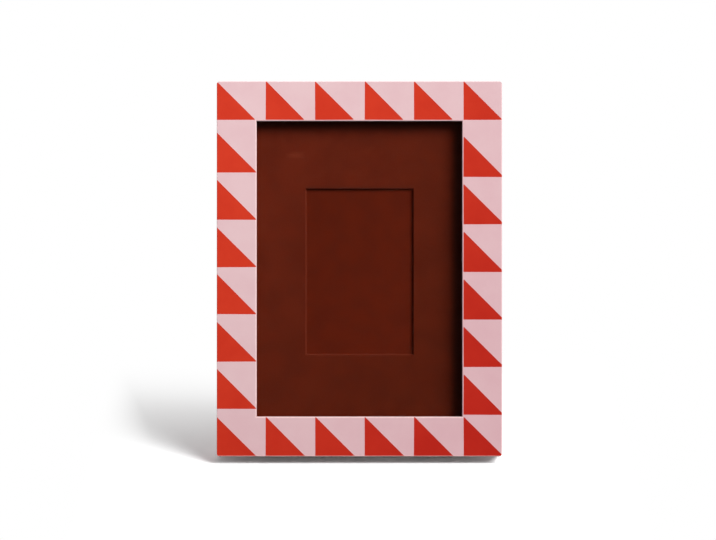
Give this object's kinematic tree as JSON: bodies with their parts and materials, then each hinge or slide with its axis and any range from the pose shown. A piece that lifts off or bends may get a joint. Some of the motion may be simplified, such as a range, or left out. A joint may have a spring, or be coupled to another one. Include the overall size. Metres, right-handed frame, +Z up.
{
  "type": "standing picture frame",
  "caption": "Standing picture frame with an inlaid triangle border, glass, mat, turn buttons and a folding easel leg.",
  "frame": {"origin": "on the table, midway between the frame's front and the back of the easel leg, on the centre line", "axes": "+Z up, -Y out of the front towards the viewer, +X to the right as seen from the front; the frame stands leaning back 17 degrees with its leg open"},
  "size_m": [0.1662, 0.0924, 0.214],
  "materials": {
    "painted_rail": "pink lacquer over fibreboard",
    "pink_resin": "polished pink resin, satin gloss",
    "red_resin": "polished red resin, satin gloss",
    "glass": "clear picture glass",
    "mat": "maroon mat board, matt",
    "card": "maroon card, matt",
    "filler": "plain brown board",
    "board": "brown hardboard",
    "lining": "maroon flock lining",
    "steel": "nickel-plated sheet steel",
    "leg": "hardboard covered with the same maroon lining"
  },
  "bodies": {
    "frame": {"top_rail": "painted_rail", "bottom_rail": "painted_rail", "left_rail": "painted_rail", "right_rail": "painted_rail", "corner_nails": "steel", "resin_face": "pink_resin", "top_inlay": "red_resin", "bottom_inlay": "red_resin", "left_inlay": "red_resin", "right_inlay": "red_resin", "glass_pane": "glass", "mat_board": "mat", "insert_card": "card", "filler_board": "filler", "back_board": "board", "board_lining": "lining", "button_screws": "steel", "board_plate": "steel", "hinge_pin": "steel", "board_rivets": "steel"},
    "leg": {"easel_leg": "leg", "leg_plate": "steel", "leg_rivets": "steel"},
    "upper_left_button": {"upper_left_button": "steel"},
    "upper_right_button": {"upper_right_button": "steel"},
    "lower_left_button": {"lower_left_button": "steel"},
    "lower_right_button": {"lower_right_button": "steel"}
  },
  "joints": [
    {"name": "leg_fold", "type": "hinge", "parent": "frame", "child": "leg", "pos_m": [0, 0.01712, 0.14252], "axis": [1, 0, 0], "range_deg": [-28, 0]},
    {"name": "upper_left_turn", "type": "hinge", "parent": "frame", "child": "upper_left_button", "pos_m": [-0.0696, 0.01885, 0.15516], "axis": [0, 0.9563, -0.2924], "continuous": true},
    {"name": "upper_right_turn", "type": "hinge", "parent": "frame", "child": "upper_right_button", "pos_m": [0.0696, 0.01885, 0.15516], "axis": [0, 0.9563, -0.2924], "continuous": true},
    {"name": "lower_left_turn", "type": "hinge", "parent": "frame", "child": "lower_left_button", "pos_m": [-0.0696, -0.01232, 0.05322], "axis": [0, 0.9563, -0.2924], "continuous": true},
    {"name": "lower_right_turn", "type": "hinge", "parent": "frame", "child": "lower_right_button", "pos_m": [0.0696, -0.01232, 0.05322], "axis": [0, 0.9563, -0.2924], "continuous": true}
  ]
}
